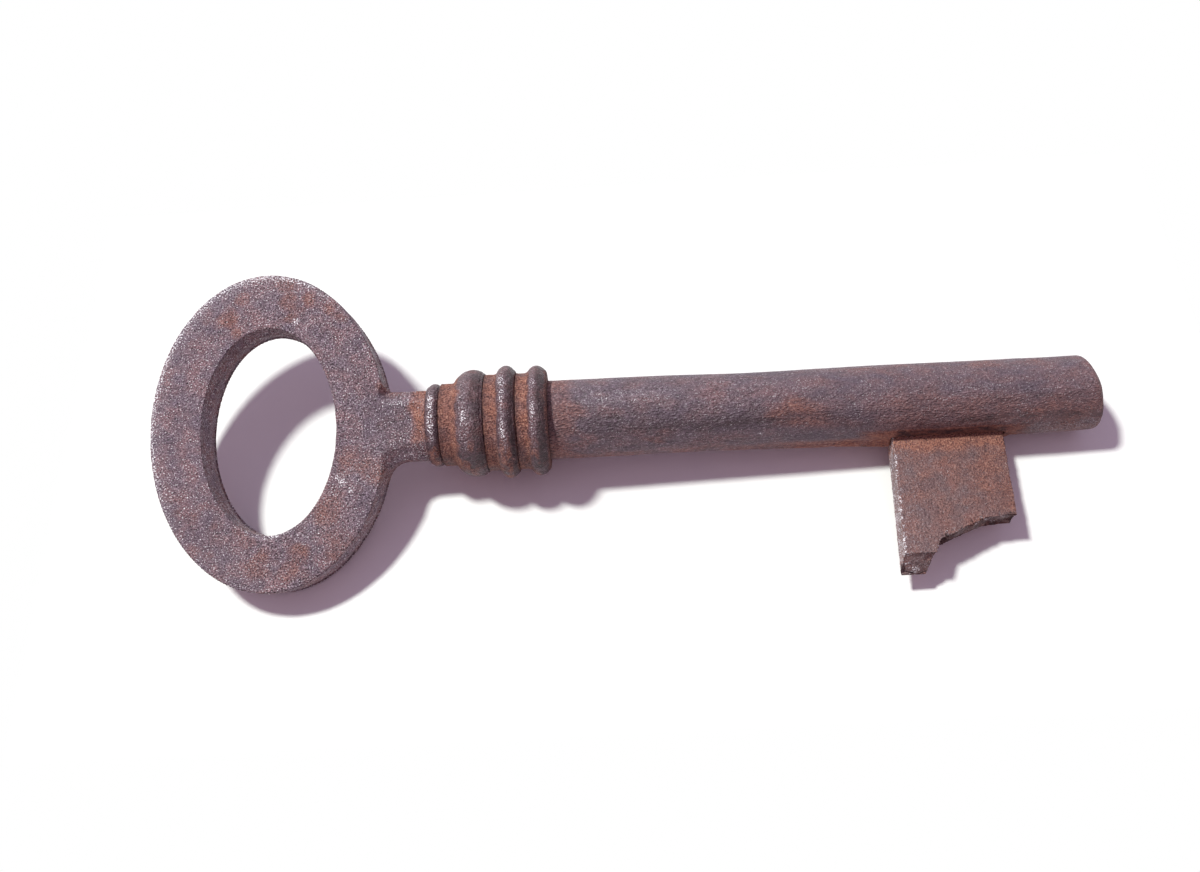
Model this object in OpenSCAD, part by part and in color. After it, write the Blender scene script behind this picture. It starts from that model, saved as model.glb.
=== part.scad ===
// Old iron key for a lever lock: oval bow, ringed collar, round solid shank and a broken bit.
// The bow's round tang runs through the four collar rings into a socket in the shank, and the
// bit's tongue sits in a slot in the shank's lower side.
// +X runs along the shank to its tip, +Z is square to the bow, and the bit points to -Y.
// The origin lies on the shank's axis at the collar's front face, where the key stops in a lock.

/* [Bow] */
// Length of the bow along the shank
bow_len = 20.8; // [18:0.1:24]
// Width of the bow across the shank
bow_w = 28.3; // [25:0.1:34]
// Length of the eye along the shank
eye_len = 11.7; // [8:0.1:13]
// Width of the eye across the shank
eye_w = 18.2; // [12:0.1:20]
// Thickness of the bow
bow_t = 3.7; // [3:0.1:5]

/* [Neck] */
// Length of the neck between the bow and the collar
neck_len = 3.5; // [2.8:0.1:6]
// Width of the neck
neck_w = 6.2; // [5:0.1:8]
// Width of the flat on the neck's top and bottom
neck_flat_w = 3.7; // [3:0.1:4.8]
// Height of the flat on the neck's sides
neck_side_h = 1.3; // [0.6:0.1:2.6]
// Radius of the hollow between bow and neck on the side away from the bit
fillet_upper_r = 0.9; // [0.5:0.1:2]
// Radius of the hollow between bow and neck on the bit's side
fillet_lower_r = 2.3; // [0.5:0.1:3]
// Length of the flare from the neck to the collar
flare_len = 1.9; // [1:0.1:2.4]

/* [Collar] */
// Diameter of the collar where the flare meets it
collar_rear_d = 6.9; // [6.4:0.1:7.4]
// Outer diameter of the neck ring
neck_ring_d = 7.5; // [7.2:0.1:8.6]
// Length of the neck ring
neck_ring_len = 1.2; // [0.9:0.1:1.8]
// Outer diameter of the bead
bead_d = 9.7; // [9:0.1:11]
// Length of the bead with the groove behind it
bead_len = 3.9; // [3.8:0.1:5.5]
// Distance of the bead's widest place from its rear end
bead_mid = 2.85; // [2.4:0.05:3.2]
// Radius of the bead's round section
bead_round_r = 1.85; // [1.6:0.05:2]
// Diameter of the groove behind the bead
rear_groove_d = 7.4; // [6.8:0.1:8]
// Diameter of the two grooves in front of the bead
front_groove_d = 8.7; // [8:0.1:9]
// Outer diameter of the middle ring
middle_ring_d = 10.2; // [9.6:0.1:11.5]
// Length of the middle ring with the groove behind it
middle_ring_len = 2.75; // [2.2:0.05:3.4]
// Radius of the middle ring's round section
middle_round_r = 0.88; // [0.6:0.02:1]
// Outer diameter of the front ring
front_ring_d = 10; // [9.6:0.1:11.5]
// Length of the front ring with the groove behind it
front_ring_len = 2.75; // [2.3:0.05:3.4]
// Radius of the front ring's round section
front_round_r = 0.92; // [0.6:0.02:1.1]

/* [Shank] */
// Length of the shank from the collar to the tip
shank_len = 48.5; // [44:0.1:60]
// Diameter of the shank at the collar
shank_root_d = 7.06; // [6.8:0.02:7.4]
// Diameter of the shank from the bit's front to the tip
tip_d = 6.8; // [6.4:0.02:7]
// Length of the bare tip in front of the bit
tip_len = 8.3; // [6:0.1:12]
// Radius of the tip's rounded edge
tip_round_r = 1.1; // [0.5:0.1:2.2]

/* [Bit] */
// Width of the bit along the shank
bit_w = 9.9; // [6:0.1:13]
// Thickness of the bit
bit_t = 2; // [1.5:0.1:2.6]
// Length of the bit from the shank's surface to the end of its toe
toe_len = 12.3; // [11:0.05:14]
// Width of the toe that is left under the break
toe_w = 2.2; // [1.6:0.1:3]
// Length that is left of the bit at its front
front_len = 8.1; // [4:0.05:8.4]
// Length of the break's slope on the toe
break_slope = 1.15; // [0.5:0.05:2]
// Distance that the toe stands further back than the bit's root
toe_lean = 1.15; // [0:0.05:1.6]
// Angle in degrees that the bit is bent up out of the bow's plane
bit_bend = 20; // [0:0.5:24]
// Distance of the bit's root below the shank's axis plane
bit_drop = 0.4; // [0:0.05:0.8]

/* [Joints] */
// Diameter of the bow's tang
tang_d = 3.2; // [2.6:0.1:3.6]
// Depth that the tang reaches into the shank
tang_depth = 9; // [5:0.5:16]
// Depth that the bit's tongue reaches into the shank
tongue_depth = 1.5; // [1:0.1:2]
// Brazing gap on each side of the tang and the tongue
fit_gap = 0.05; // [0.02:0.01:0.1]
// Free space at the end of the tang's socket
socket_end_gap = 0.3; // [0.1:0.1:1]

/* [Hidden] */
$fn = 96;
eps = 0.01;
// Distance that cutters and hidden joins run past a surface
reach = 1;

// Stations along the axis, counted back from the collar's front face
front_ring_x = -front_ring_len;
middle_ring_x = front_ring_x - middle_ring_len;
bead_x = middle_ring_x - bead_len;
collar_x = bead_x - neck_ring_len;
bow_edge_x = collar_x - neck_len;
bow_x = bow_edge_x - bow_len / 2;

// Thickness of the webs that fill the hollows between bow and neck
web_t = (bow_t + neck_side_h) / 2;

// Stations of the bit
bit_front_x = shank_len - tip_len;
bit_back_x = bit_front_x - bit_w;
shank_root_r = shank_root_d / 2;
tip_r = tip_d / 2;
slot_floor_r = tip_r - tongue_depth;
tongue_h = shank_root_r - slot_floor_r;
toe_step = 0.55;

// The break from the toe to the bit's front: shares of the way along it, and how far each point
// lies from the straight line between its two ends, less than nought towards the shank
break_marks = [[0, 0], [0.07, -0.95], [0.29, -0.95], [0.47, -0.95], [0.65, -0.9],
               [0.85, -0.4], [1, 0]];

iron = [0.52, 0.43, 0.45];
dark_iron = [0.38, 0.32, 0.35];
worn_iron = [0.48, 0.4, 0.44];
rusty_iron = [0.55, 0.41, 0.38];

// Turns a part built along Z so that it lies along X
module along_x(from_x) {
    translate([from_x, 0, 0]) rotate([0, 90, 0]) children();
}

// Distance of a point of the bow's outline, at angle t, above a line across the neck's side
function bow_rise(t, r, side_y) =
    let (a = bow_len / 2, b = bow_w / 2, n = norm([cos(t) / a, sin(t) / b]))
    b * sin(t) + r * sin(t) / b / n - side_y - r;

// Angle at which a round hollow of radius r touches both the bow's outline and the neck's side
function hollow_angle(r, side_y, low = 0, high = 80, steps = 30) =
    steps == 0 ? (low + high) / 2 :
    let (mid = (low + high) / 2)
    bow_rise(mid, r, side_y) > 0 ? hollow_angle(r, side_y, low, mid, steps - 1) :
    hollow_angle(r, side_y, mid, high, steps - 1);

// Web with a round hollow between the bow and the neck's upper side
module hollow_web(r, side_y) {
    a = bow_len / 2;
    b = bow_w / 2;
    t = hollow_angle(r, side_y);
    n = norm([cos(t) / a, sin(t) / b]);
    touch = [a * cos(t), b * sin(t)];
    centre = touch + r * [cos(t) / a, sin(t) / b] / n;
    difference() {
        polygon([[a - reach, 0], [a - reach, side_y], touch, centre, [centre[0], side_y],
                 [centre[0], 0]]);
        translate(centre) circle(r);
    }
}

// Eight-sided bar of the neck, from inside the bow's rim to the collar
module neck_bar() {
    y = neck_w / 2;
    flat_y = neck_flat_w / 2;
    z = bow_t / 2;
    side_z = neck_side_h / 2;
    along_x(bow_edge_x - reach)
        linear_extrude(neck_len + reach)
            polygon([[-z, -flat_y], [-side_z, -y], [side_z, -y], [z, -flat_y],
                     [z, flat_y], [side_z, y], [-side_z, y], [-z, flat_y]]);
}

// Hollow flare that widens from the neck to the collar's round end
module flare() {
    start_r = bow_t / 2;
    end_r = collar_rear_d / 2;
    rise = end_r - start_r;
    sweep_r = (rise * rise + flare_len * flare_len) / (2 * rise);
    along_x(collar_x - flare_len)
        rotate_extrude()
            difference() {
                square([end_r, flare_len]);
                translate([start_r + sweep_r, 0]) circle(sweep_r);
            }
}

module bow() {
    color(iron) {
        difference() {
            union() {
                translate([bow_x, 0, -bow_t / 2])
                    linear_extrude(bow_t)
                        scale([bow_len / bow_w, 1]) circle(d = bow_w);
                translate([bow_x, 0, -web_t / 2])
                    linear_extrude(web_t) {
                        hollow_web(fillet_upper_r, neck_w / 2);
                        mirror([0, 1]) hollow_web(fillet_lower_r, neck_w / 2);
                    }
                neck_bar();
            }
            translate([bow_x, 0, -bow_t / 2 - eps])
                linear_extrude(bow_t + 2 * eps)
                    scale([eye_len / eye_w, 1]) circle(d = eye_w);
        }
        flare();
        along_x(collar_x - eps)
            cylinder(h = tang_depth - collar_x + eps, d = tang_d);
    }
}

// Piece of the collar, bored for the tang: a groove and, at band_x, a band of round section
module collar_piece(from_x, len, groove_d, band_d, band_r, band_x) {
    bore_r = tang_d / 2 + fit_gap;
    band_centre_r = band_d / 2 - band_r;
    along_x(from_x)
        rotate_extrude()
            intersection() {
                union() {
                    square([groove_d / 2, band_x]);
                    square([band_centre_r, len]);
                    translate([band_centre_r, band_x]) circle(band_r);
                }
                translate([bore_r, 0]) square([band_d / 2, len]);
            }
}

module neck_ring() {
    color(worn_iron)
        collar_piece(collar_x, neck_ring_len, collar_rear_d, neck_ring_d,
                     neck_ring_len / 2, neck_ring_len / 2);
}

module bead() {
    color(dark_iron)
        collar_piece(bead_x, bead_len, rear_groove_d, bead_d, bead_round_r, bead_mid);
}

module middle_ring() {
    color(dark_iron)
        collar_piece(middle_ring_x, middle_ring_len, front_groove_d, middle_ring_d,
                     middle_round_r, middle_ring_len - middle_round_r);
}

module front_ring() {
    color(dark_iron)
        collar_piece(front_ring_x, front_ring_len, front_groove_d, front_ring_d,
                     front_round_r, front_ring_len - front_round_r);
}

module shank() {
    color(iron)
        difference() {
            along_x(0)
                rotate_extrude() {
                    polygon([[0, 0], [shank_root_r, 0], [tip_r, bit_front_x], [0, bit_front_x]]);
                    translate([0, bit_front_x - eps])
                        square([tip_r, tip_len - tip_round_r + eps]);
                    translate([0, bit_front_x]) square([tip_r - tip_round_r, tip_len]);
                    translate([tip_r - tip_round_r, shank_len - tip_round_r])
                        intersection() {
                            circle(tip_round_r);
                            square(tip_round_r);
                        }
                }
            along_x(-eps)
                cylinder(h = tang_depth + socket_end_gap + eps, r = tang_d / 2 + fit_gap);
            translate([bit_back_x - fit_gap, -shank_root_r - reach,
                       -bit_drop - bit_t / 2 - fit_gap])
                cube([bit_w + 2 * fit_gap, tongue_h + reach, bit_t + 2 * fit_gap]);
        }
}

// Point of the bit's outline at length s from its root, moved back by the blade's lean
function leaned(x, s) = [x - toe_lean * s / toe_len, s];

// Outline of the bit on its blade, with x counted from its back and y down from its root
module bit_outline() {
    step_len = toe_len - break_slope;
    break_x = toe_w + toe_step;
    far = toe_len + reach;
    broken_edge = [for (m = break_marks)
        leaned(break_x + m[0] * (bit_w - break_x), step_len + m[0] * (front_len - step_len) + m[1])];
    polygon(concat([[bit_w, 0], [bit_w, -tongue_h - reach], [0, -tongue_h - reach], [0, 0],
                    leaned(0, far), leaned(toe_w - toe_step * reach / break_slope, far)],
                   broken_edge));
}

// Point of the bent blade's section at length s from the root and height h above its middle
function blade_point(s, h) =
    [h * sin(bit_bend) - s * cos(bit_bend), h * cos(bit_bend) + s * sin(bit_bend)];

// Section of the bit across the shank: the straight tongue, the bent blade and the sloping break
module bit_section() {
    half_t = bit_t / 2;
    mitre = half_t * tan(bit_bend / 2);
    polygon([[tongue_h, -half_t], [tongue_h, half_t], [mitre, half_t],
             blade_point(toe_len - break_slope, half_t), blade_point(toe_len, -half_t),
             [-mitre, -half_t]]);
}

module bit() {
    color(rusty_iron)
        translate([bit_back_x, -shank_root_r, -bit_drop])
            intersection() {
                translate([-toe_lean - reach, 0, 0])
                    rotate([90, 0, 90])
                        linear_extrude(bit_w + toe_lean + 2 * reach) bit_section();
                rotate([-bit_bend, 0, 0])
                    translate([0, 0, -bit_t])
                        linear_extrude(2 * bit_t) mirror([0, 1]) bit_outline();
            }
}

bow();
neck_ring();
bead();
middle_ring();
front_ring();
shank();
bit();
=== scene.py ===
"""Looks of the old iron key: rough cast iron with rust and wear, built around its CAD frame.

The frame has +X along the shank to its tip, +Z square to the bow and the bit towards -Y. Each
visible piece is an even, closed mesh of its CAD node that is then roughened and marked point by
point with wear, rust and grime, and with painted light and shade: painted highlights, glints and
floor reflections, and painted shade in creases and on shaded sides. Lengths are in millimetres,
and turn into Blender's metres where a mesh, a texture, a lamp or the camera is made. Turns round
the shank are in degrees, from +Z towards +Y.
A pair of numbers under one name says where a share starts and where it is full, for step and
zone, or where its centre is and how wide it is, for hill.
"""

import math

import bmesh
import bpy
import numpy as np
from mathutils import Matrix, Vector


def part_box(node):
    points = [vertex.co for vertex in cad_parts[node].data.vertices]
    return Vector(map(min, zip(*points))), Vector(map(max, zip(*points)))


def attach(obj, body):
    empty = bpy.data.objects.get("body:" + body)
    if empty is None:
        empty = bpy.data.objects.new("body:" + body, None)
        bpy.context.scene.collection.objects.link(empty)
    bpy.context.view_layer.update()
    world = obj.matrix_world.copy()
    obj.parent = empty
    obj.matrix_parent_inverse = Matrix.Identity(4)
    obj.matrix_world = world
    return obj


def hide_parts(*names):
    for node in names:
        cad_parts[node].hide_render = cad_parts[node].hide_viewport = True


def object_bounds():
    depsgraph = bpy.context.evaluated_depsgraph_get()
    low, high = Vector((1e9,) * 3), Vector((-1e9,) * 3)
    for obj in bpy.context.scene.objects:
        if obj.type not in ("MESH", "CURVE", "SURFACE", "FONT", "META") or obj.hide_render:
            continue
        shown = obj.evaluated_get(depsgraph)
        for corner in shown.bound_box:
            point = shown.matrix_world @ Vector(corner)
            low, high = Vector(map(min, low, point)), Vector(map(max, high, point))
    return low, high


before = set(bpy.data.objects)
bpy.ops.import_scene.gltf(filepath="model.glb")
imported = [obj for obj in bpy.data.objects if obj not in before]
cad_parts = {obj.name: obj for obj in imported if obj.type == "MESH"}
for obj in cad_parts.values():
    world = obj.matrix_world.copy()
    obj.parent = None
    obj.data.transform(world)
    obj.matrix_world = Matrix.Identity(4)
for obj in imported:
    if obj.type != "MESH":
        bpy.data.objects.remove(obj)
cad_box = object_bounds()

MM = 0.001


def box_mm(node):
    """Lowest and highest corner of a CAD node, in millimetres."""
    return [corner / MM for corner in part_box(node)]


# Main dimensions: outer ones from the frame, others as in the part's source or just inside it
bow_low, bow_high = box_mm("bow")
shank_high = box_mm("shank")[1]
bit_high = box_mm("bit")[1]
COLLAR_X = box_mm("neck_ring")[0].x
COLLAR_REAR_R = 3.45
BOW_HALF_T = 1.85
BOW_HALF_W = bow_high.y
BOW_CENTRE_X = -24.5
BOW_HALF_LEN = BOW_CENTRE_X - bow_low.x
BOW_FRONT_X = BOW_CENTRE_X + BOW_HALF_LEN
EYE_HALF_LEN, EYE_HALF_W = 5.85, 9.1
NECK_HALF_W = 3.1
NECK_EDGE_Z = 0.65
NECK_SLOPE = 0.96
HOLLOW_R = {1: 0.9, -1: 2.3}
FLARE_LEN, FLARE_RISE = 1.9, COLLAR_REAR_R - BOW_HALF_T
FLARE_X = COLLAR_X - FLARE_LEN
FLARE_SWEEP_R = (FLARE_LEN ** 2 + FLARE_RISE ** 2) / (2 * FLARE_RISE)
NECK_RING_BASE_R, NECK_RING_R = 3.35, 3.7
REAR_GROOVE_R, BEAD_R = 3.7, 4.85
FRONT_GROOVE_R, MIDDLE_RING_R, FRONT_RING_R = 4.35, 5.1, 5.0
SHANK_R = shank_high.z
TIP_R = 3.4
TIP_X = shank_high.x
TIP_ROUND_R = 1.1
BIT_W = 9.9
BIT_FRONT_X = bit_high.x
BIT_BACK_X = BIT_FRONT_X - BIT_W
BIT_ROOT_Y = -SHANK_R
BIT_MID_Z = -0.4
BIT_BEND = math.radians(20)
TOE_LEN = 12.3
TOE_LEAN = 1.15

# The photograph's camera, floor and lamp, from a fit to outlines and shadows
CAMERA_PLACE = Vector((3.964, -14.923, 88.168))
CAMERA_RIGHT = Vector((0.99866, -0.051696, -0.002258))
CAMERA_UP = Vector((0.051459, 0.987591, 0.148381))
CAMERA_BACK = Vector((-0.00544, -0.148298, 0.988928))
CAMERA_LENS = 30.0
CAMERA_SENSOR = 36.0
CAMERA_RANGE = (5, 2000)
LAMP_PLACE = Vector((-175.7, 189.4, 295.1))
LAMP_RADIUS = 24
LAMP_COLOR = (0.95, 1.0, 0.93)
LAMP_POWER = 6.3
SHADE_FROM = (0.0, 0.4, 0.3)
SHADE_NEAR = (0.325, 0.275, 0.378)
SHADE_FAR = (0.235, 0.09, 0.07)
FLOOR_HEIGHT = -5.2956
FLOOR_RISE_X = 0.0381
FLOOR_RISE_Y = -0.3023
FLOOR_BACK_X, FLOOR_FRONT_X = -47, 62
FLOOR_HALF_W = 27
FLOOR_COLOR = (0.99, 0.99, 0.99)
FLOOR_GLOW = (0.01, 0.004, 0.008)

# Seeded noise and soft shares on arrays of points
HASH_X, HASH_Y, HASH_Z, HASH_SEED = 374761393, 668265263, 974634777, 362437
HASH_MIX = 1274126177
HASH_MASK = 0xFFFFFFFF
OCTAVE_SEED = 17
TINY = 1e-9


def corner_value(cell, seed):
    """A number from 0 to 1 for each lattice corner, the same in every run."""
    mixed = cell[:, 0] * HASH_X + cell[:, 1] * HASH_Y + cell[:, 2] * HASH_Z + seed * HASH_SEED
    mixed &= HASH_MASK
    mixed = ((mixed ^ (mixed >> 13)) * HASH_MIX) & HASH_MASK
    return (mixed ^ (mixed >> 16)) / HASH_MASK


def noise(points, size, seed, octaves=1, stretch=(1, 1, 1)):
    """Smooth noise from -1 to 1 with waves about size long; each octave is half as long and high."""
    total, weight = 0, 0
    for octave in range(octaves):
        scaled = points / (size * np.array(stretch)) * 2 ** octave
        cell = np.floor(scaled).astype(np.int64)
        part = scaled - cell
        part = part * part * (3 - 2 * part)
        value = 0
        for corner in np.ndindex(2, 2, 2):
            share = np.prod(np.where(corner, part, 1 - part), axis=1)
            value = value + share * corner_value(cell + corner, seed + OCTAVE_SEED * octave)
        total = total + (2 * value - 1) * 0.5 ** octave
        weight += 0.5 ** octave
    return total / weight


def step(start, full, value):
    """0 at start and before it, 1 from full on and smooth in between; start may be the greater."""
    share = np.clip((value - start) / (full - start), 0, 1)
    return share * share * (3 - 2 * share)


def zone(value, rise, fall):
    """1 between two soft ends, each given as its start and where it is full."""
    return step(*rise, value) * step(*fall, value)


def hill(value, centre, width):
    """1 at the centre, falling off smoothly over about width on both sides."""
    return np.exp(-((value - centre) / width) ** 2)


def largest(*shares):
    """The highest of several shares at each point."""
    return np.maximum.reduce(shares)


# Shape: how far each piece's surface leaves its CAD solid
LUMP_SIZE, GRAIN_SIZE, PIT_SIZE = 3.2, 0.75, 0.9
PIT_LEVEL = (0.42, 0.8)
JOINT_CLOSED, JOINT_FREE = 0.02, 0.16


def cast_skin(points, seed, lump=0.03, grain=0.03, pit=0.07):
    """Depth of the rough cast surface below the plain one, always inwards."""
    lumps = lump * (1 + noise(points, LUMP_SIZE, seed, octaves=2)) / 2
    grains = grain * (1 + noise(points, GRAIN_SIZE, seed + 1, octaves=2)) / 2
    pits = pit * step(*PIT_LEVEL, noise(points, PIT_SIZE, seed + 2, octaves=2))
    return lumps + grains + pits


def joint_share(x, *joints):
    """0 on the plane of each joint between two pieces, 1 a little away from it."""
    return np.prod([step(JOINT_CLOSED, JOINT_FREE, np.abs(x - joint)) for joint in joints], axis=0)


# The bow's neck: its hollows, the filler for them and the slopes of its edges
HOLLOW_SEARCH_TURN = math.radians(80)
HOLLOW_SEARCH_STEPS = 40
FILLER_OVERLAP = 1.0
FILLER_ARC_STEPS = 12
NECK_REACH = 1.5
SLOPE_FADE = (0.35, 1)


def hollow(side):
    """Centre and radius of the round hollow by the neck on one side, and the bow's normal there."""
    radius = HOLLOW_R[side]
    low, high = 0, HOLLOW_SEARCH_TURN
    for _ in range(HOLLOW_SEARCH_STEPS):
        turn = (low + high) / 2
        normal = Vector((math.cos(turn) / BOW_HALF_LEN, math.sin(turn) / BOW_HALF_W)).normalized()
        touch = Vector((BOW_HALF_LEN * math.cos(turn), BOW_HALF_W * math.sin(turn)))
        centre = touch + normal * radius
        low, high = (low, turn) if centre.y > NECK_HALF_W + radius else (turn, high)
    return centre.x + BOW_CENTRE_X, centre.y, radius, math.atan2(normal.x, normal.y)


def neck_filler():
    """Plate of the bow's full thickness that fills the neck and the hollows beside it."""
    outline = []
    for side in (1, -1):
        centre_x, centre_y, radius, last_turn = hollow(side)
        turns = [last_turn * (1 - i / FILLER_ARC_STEPS) for i in range(FILLER_ARC_STEPS + 1)]
        half = [(BOW_FRONT_X - FILLER_OVERLAP, NECK_HALF_W)]
        half += [(centre_x - radius * math.sin(turn), centre_y - radius * math.cos(turn))
                 for turn in turns]
        half += [(COLLAR_X, NECK_HALF_W)]
        outline += [(x, side * y) for x, y in half[::side]]
    count = len(outline)
    corners = [(x * MM, y * MM, z * MM) for z in (-BOW_HALF_T, BOW_HALF_T) for x, y in outline]
    back, front = tuple(range(count))[::-1], tuple(range(count, 2 * count))
    sides = [(i, i + count, (i + 1) % count + count, (i + 1) % count) for i in range(count)]
    mesh = bpy.data.meshes.new("neck_filler")
    mesh.from_pydata(corners, [], [back, front, *sides])
    return mesh


def slope_neck(points):
    """Slopes the neck's and the hollows' edges down on both faces, up to the round flare."""
    x, y, z = points.T
    height = np.full(len(x), BOW_HALF_T)
    for side in (1, -1):
        centre_x, centre_y, radius, last_turn = hollow(side)
        across = centre_y - side * y
        turn = np.arctan2(centre_x - x, across)
        in_hollow = np.hypot(centre_x - x, across) - radius
        inside = np.where(x < centre_x, in_hollow, NECK_HALF_W - side * y)
        edge = NECK_EDGE_Z + (BOW_HALF_T - NECK_EDGE_Z) * step(*SLOPE_FADE, turn / last_turn)
        slope = np.clip(edge + NECK_SLOPE * inside, NECK_EDGE_Z, BOW_HALF_T)
        here = (side * y > 0) & (x > BOW_FRONT_X - NECK_REACH) & (turn < last_turn)
        height = np.where(here, slope, height)
    along = np.clip(x - FLARE_X, 0, COLLAR_X - FLARE_X)
    flare_r = BOW_HALF_T + FLARE_SWEEP_R - np.sqrt(FLARE_SWEEP_R ** 2 - along ** 2)
    flare_z = np.sqrt(np.maximum(flare_r ** 2 - y ** 2, 0)) * (x > FLARE_X)
    lowered = np.maximum(np.abs(z) * height / BOW_HALF_T, np.minimum(np.abs(z), flare_z))
    return np.stack((x, y, np.sign(z) * np.where(x < COLLAR_X, lowered, np.abs(z))), axis=1)


# The bow's walls: the mould's parting ridge in the middle and the draft to both faces
WALL_FACING = (0.5, 0.9)
WALL_END = (0.6, -0.4)
WALL_DRAFT, WALL_DRAFT_POWER = 0.16, 1.5
RIDGE_HEIGHT, RIDGE_WIDTH = 0.07, 0.16
WALL_CLEAR = 0.03


def bow_shape(points, normals):
    """Sloped neck edges, and walls drafted from the mould's parting plane with a ragged ridge."""
    points = slope_neck(points)
    x, _, z = points.T
    sideways = np.hypot(normals[:, 0], normals[:, 1])
    wall = step(*WALL_FACING, sideways) * step(*WALL_END, x - BOW_FRONT_X)
    draft = WALL_DRAFT * (np.abs(z) / BOW_HALF_T) ** WALL_DRAFT_POWER
    ridge = RIDGE_HEIGHT * hill(z, 0, RIDGE_WIDTH) * (1 + noise(points, size=1.1, seed=5, octaves=2))
    depth = cast_skin(points, seed=11) + wall * (draft - ridge + WALL_CLEAR)
    depth *= joint_share(x, COLLAR_X)
    flat = np.where(wall > 0, wall, 1)
    direction = normals * np.stack((flat, flat, np.ones(len(flat))), axis=1)
    direction /= np.maximum(np.linalg.norm(direction, axis=1), TINY)[:, None]
    return points - direction * depth[:, None]


# The collar's rings
FRONT_SLOPE = 1.3
CREST_RADIUS = (3.9, 4.7)
RING_UNEVEN = 0.05
RING_GRAIN = 0.05
DENT_LEVEL = (0.2, 0.7)


def slope_front(points, next_r):
    """Slopes a crest down to the next piece's radius, where the mould left no sharp step."""
    x, y, z = points.T
    radius = np.hypot(y, z)
    above = radius - next_r
    over = np.maximum(above - FRONT_SLOPE * (x.max() - x), 0) * (above > 0) / (1 + FRONT_SLOPE ** 2)
    narrower = 1 - over / radius
    return np.stack((x - FRONT_SLOPE * over, y * narrower, z * narrower), axis=1)


def ring_shape(seed, dent=0.09, next_r=None):
    """A collar piece, a little uneven round its crest and dented by wear."""
    def shape(points, normals):
        if next_r:
            points = slope_front(points, next_r)
        x, y, z = points.T
        crest = step(*CREST_RADIUS, np.hypot(y, z))
        uneven = RING_UNEVEN * crest * (1 + noise(points, size=2.4, seed=seed))
        dents = dent * crest * step(*DENT_LEVEL, noise(points, size=0.8, seed=seed + 3, octaves=2))
        depth = cast_skin(points, seed + 5, grain=RING_GRAIN) + uneven + dents
        depth *= joint_share(x, x.min(), x.max())
        return points - normals * depth[:, None]
    return shape


# The shank: its waist, the mould's lip under it and its tip
OUTER_RADIUS = (2.4, 3.0)
WAIST_DEPTH = 0.12
WAIST_X, WAIST_LEN = 18.5, 6
STREAK_DEPTH = 0.05
STREAK_STRETCH = (7, 1, 1)
LIP_X = [0, 13, 22, 29.5, 40, 41, 46, 48]
LIP_HEIGHT = [0.08, 0.09, 0.27, 0.52, 0.45, 0.12, 0.08, 0]
LIP_WIDTH = 0.42
LIP_RAGGED = 0.3
TIP_END = 1.4
TIP_DOME = 0.1
TIP_CUT = 0.45
TIP_CUT_ACROSS = (-0.4, 1)
TIP_FILL_ACROSS = (-0.1, -0.9)
TIP_FILL_POWER = 8


def fill_tip(points):
    """Squares the tip's rounded edge on the bit's side, where it is hardly worn."""
    x, y, z = points.T
    radius = np.hypot(y, z)
    along = np.maximum(x - (TIP_X - TIP_ROUND_R), 0) / TIP_ROUND_R
    outward = np.maximum(radius - (TIP_R - TIP_ROUND_R), 0) / TIP_ROUND_R
    reach = np.maximum(np.hypot(along, outward), TINY)
    powers = (along / reach) ** TIP_FILL_POWER + (outward / reach) ** TIP_FILL_POWER
    square = (powers + TINY) ** (-1 / TIP_FILL_POWER)
    grow = (square - 1) * step(*TIP_FILL_ACROSS, y / TIP_R) * (along > 0) * (outward > 0)
    wider = 1 + grow * outward * TIP_ROUND_R / np.maximum(radius, TINY)
    return np.stack((x + grow * along * TIP_ROUND_R, y * wider, z * wider), axis=1)


def shank_shape(points, normals):
    """Slight waist on one side, the mould's lip on the other, lengthwise wear and a domed tip."""
    points = fill_tip(points)
    x, y, z = points.T
    radius = np.hypot(y, z)
    outside = step(*OUTER_RADIUS, radius)
    waist = WAIST_DEPTH * hill(x, WAIST_X, WAIST_LEN) * np.clip(y / SHANK_R, 0, 1)
    ragged = 1 + LIP_RAGGED * noise(points, size=1.6, seed=61, octaves=2)
    lip = np.interp(x, LIP_X, LIP_HEIGHT) * ragged * hill(z, BIT_MID_Z, LIP_WIDTH) * (y < 0)
    streaks = (1 + noise(points, size=0.7, seed=63, octaves=2, stretch=STREAK_STRETCH)) / 2
    depth = cast_skin(points, seed=71) + STREAK_DEPTH * streaks + waist
    depth *= outside * joint_share(x, 0)
    dome = TIP_DOME * (radius / TIP_R) ** 2 * step(-1, 0, y / TIP_R)
    dome += TIP_CUT * step(*TIP_CUT_ACROSS, y / TIP_R)
    points = points - normals * depth[:, None]
    points[:, 0] -= dome * step(TIP_X - TIP_END, TIP_X, x)
    points[:, 1] -= lip * outside
    return points


# The bit: the torn surface of its break and its ragged front edge
BREAK_FACING = (0.3, 0.55)
BREAK_FROM = (5, 6)
TOE_FROM = (10, 10.5)
TORN_LEAST = 0.1
TORN_DEPTH, TORN_LEVEL = 0.38, (-0.35, 0.35)
CHIP_DEPTH, CHIP_LEVEL = 0.1, (0, 0.15)
NOTCH_DEPTH = 0.55
NOTCH_BACK, NOTCH_FRONT, NOTCH_TOP = (0.6, 1.0), (2.6, 2.2), (-0.25, 0.15)
TOE_TOP_HEIGHT, TOE_TOP_WHOLE = (-0.3, 0.1), 0.6
FRONT_FACING = (0.3, 0.9)
FRONT_RAGGED, FRONT_LEVEL = 0.16, (-0.2, 0.6)


def along_blade(points):
    """Length of each point along the bent blade, from its root, and height above its middle."""
    y, z = points[:, 1] - BIT_ROOT_Y, points[:, 2] - BIT_MID_Z
    return (-y * math.cos(BIT_BEND) + z * math.sin(BIT_BEND),
            y * math.sin(BIT_BEND) + z * math.cos(BIT_BEND))


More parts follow.
